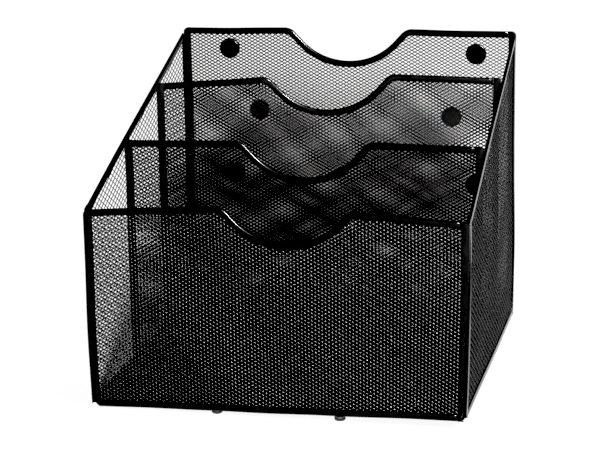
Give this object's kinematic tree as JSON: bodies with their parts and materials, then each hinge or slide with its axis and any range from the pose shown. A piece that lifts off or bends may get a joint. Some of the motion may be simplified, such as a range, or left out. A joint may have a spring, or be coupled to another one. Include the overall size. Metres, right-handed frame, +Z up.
{
  "type": "magazine file holder",
  "caption": "Stepped magazine holder of black steel mesh with open pockets, scooped panel edges, folded channel edging, rear pot magnets and small rubber feet.",
  "frame": {"origin": "middle of the holder's footprint, on the surface that the feet stand on", "axes": "+X along the pockets to the holder's right seen from the front, +Y from the front panel to the rear panel, +Z up"},
  "size_m": [0.33, 0.326, 0.2855],
  "materials": {
    "strip": "satin black powder coat",
    "mesh": "satin black powder coat on expanded steel",
    "disc": "semi-gloss black enamel",
    "cup": "bright nickel plate",
    "magnet": "dull pressed ferrite",
    "foot": "matt black rubber"
  },
  "bodies": {
    "root": {"rear_mesh": "mesh", "rear_left_strip": "strip", "rear_right_strip": "strip", "rear_top_strip": "strip", "rear_bottom_strip": "strip", "rear_divider_mesh": "mesh", "rear_divider_left_strip": "strip", "rear_divider_right_strip": "strip", "rear_divider_top_strip": "strip", "front_divider_mesh": "mesh", "front_divider_left_strip": "strip", "front_divider_right_strip": "strip", "front_divider_top_strip": "strip", "front_mesh": "mesh", "front_left_strip": "strip", "front_right_strip": "strip", "front_top_strip": "strip", "front_bottom_strip": "strip", "left_side_mesh": "mesh", "left_side_front_strip": "strip", "left_side_rear_strip": "strip", "left_side_top_strip": "strip", "left_side_bottom_strip": "strip", "right_side_mesh": "mesh", "right_side_front_strip": "strip", "right_side_rear_strip": "strip", "right_side_top_strip": "strip", "right_side_bottom_strip": "strip", "floor_mesh": "mesh", "clamp_disc_1": "disc", "magnet_cup_1": "cup", "magnet_1": "magnet", "clamp_disc_2": "disc", "magnet_cup_2": "cup", "magnet_2": "magnet", "clamp_disc_3": "disc", "magnet_cup_3": "cup", "magnet_3": "magnet", "clamp_disc_4": "disc", "magnet_cup_4": "cup", "magnet_4": "magnet", "clamp_disc_5": "disc", "magnet_cup_5": "cup", "magnet_5": "magnet", "clamp_disc_6": "disc", "magnet_cup_6": "cup", "magnet_6": "magnet", "front_left_foot": "foot", "front_right_foot": "foot", "rear_left_foot": "foot", "rear_right_foot": "foot"}
  },
  "joints": []
}
